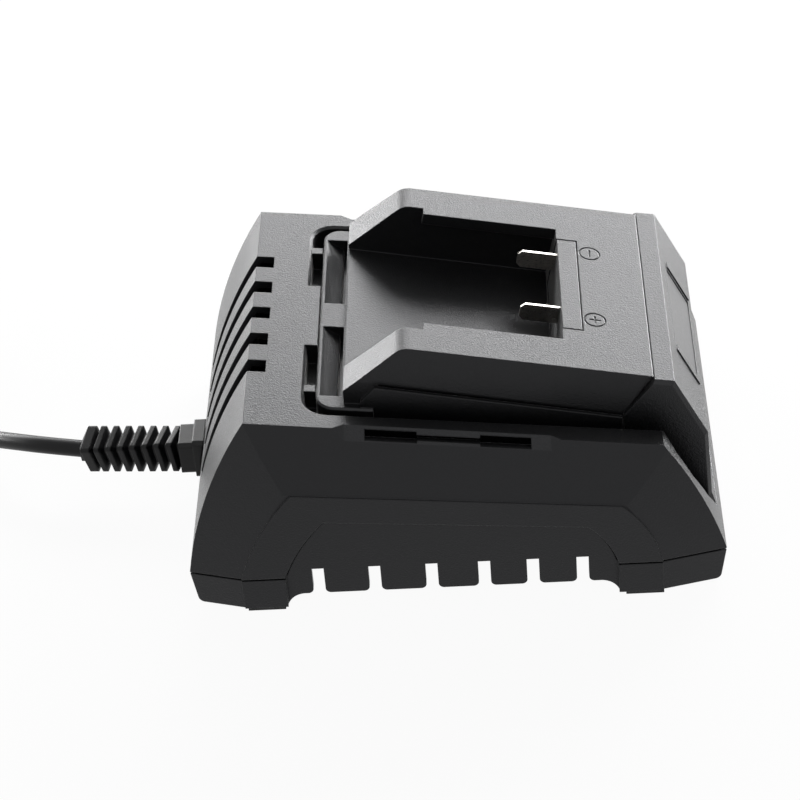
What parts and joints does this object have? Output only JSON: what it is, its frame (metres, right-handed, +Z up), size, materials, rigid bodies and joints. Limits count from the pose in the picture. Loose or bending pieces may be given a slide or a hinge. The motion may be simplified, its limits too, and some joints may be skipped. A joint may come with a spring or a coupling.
{
  "type": "power tool battery charger",
  "caption": "Low wedge-shaped battery charger with a tilted slide-on battery dock, vented housing on comb-edged skirts, and a mains cord.",
  "frame": {"origin": "Under the middle of the housing, on the surface that its feet stand on.", "axes": "+X runs from the cord end to the front cover, +Y to the far side of the picture, +Z up."},
  "size_m": [0.3665, 0.187, 0.0886],
  "materials": {
    "black_housing_plastic": "fine-grained moulded plastic",
    "black_flexible_plastic": "smooth flexible plastic",
    "black_rubber": "matt",
    "nickel_plated_contacts": "bright nickel plating",
    "blank_plates": "smooth, blank",
    "zinc_plated_steel": "zinc plated",
    "clear_acrylic": "clear, polished",
    "green_circuit_board": "solder mask",
    "ferrite": "sintered",
    "yellow_winding_tape": "tape",
    "capacitor_sleeve": "shrink sleeve",
    "grey_component_case": "moulded",
    "black_component_case": "moulded epoxy",
    "aluminium_heat_sink": "extruded",
    "red_insulation": "wire insulation",
    "black_insulation": "wire insulation",
    "brown_insulation": "wire insulation",
    "blue_insulation": "wire insulation",
    "green_led": "tinted epoxy"
  },
  "bodies": {
    "root": {"battery_dock": "black_housing_plastic", "board_screws": "zinc_plated_steel", "bridge_rectifier": "black_component_case", "circuit_board": "green_circuit_board", "clamp_screws": "zinc_plated_steel", "common_mode_choke": "ferrite", "cord_clamp": "grey_component_case", "cord_lead_in": "black_flexible_plastic", "diode_heat_sink": "aluminium_heat_sink", "dock_screws": "zinc_plated_steel", "front_cover": "black_housing_plastic", "front_left_foot": "black_rubber", "front_right_foot": "black_rubber", "housing_screws": "zinc_plated_steel", "indicator_board": "green_circuit_board", "indicator_leds": "green_led", "indicator_ribbon": "grey_component_case", "label_plate": "blank_plates", "light_pipe": "clear_acrylic", "live_lead": "brown_insulation", "lower_housing": "black_housing_plastic", "mains_capacitor": "capacitor_sleeve", "mains_fuse": "grey_component_case", "mains_plug": "black_flexible_plastic", "negative_blade": "nickel_plated_contacts", "negative_lead": "black_insulation", "neutral_lead": "blue_insulation", "output_capacitors": "capacitor_sleeve", "output_diode": "black_component_case", "plug_pins": "nickel_plated_contacts", "positive_blade": "nickel_plated_contacts", "positive_lead": "red_insulation", "power_cord": "black_flexible_plastic", "power_cord_coil": "black_flexible_plastic", "rating_plate": "blank_plates", "rear_left_foot": "black_rubber", "rear_right_foot": "black_rubber", "strain_relief": "black_flexible_plastic", "switching_transistor": "black_component_case", "terminal_block": "black_housing_plastic", "transformer_core": "ferrite", "transformer_winding": "yellow_winding_tape", "transistor_heat_sink": "aluminium_heat_sink", "upper_housing": "black_housing_plastic", "x_capacitor": "grey_component_case"}
  },
  "joints": []
}
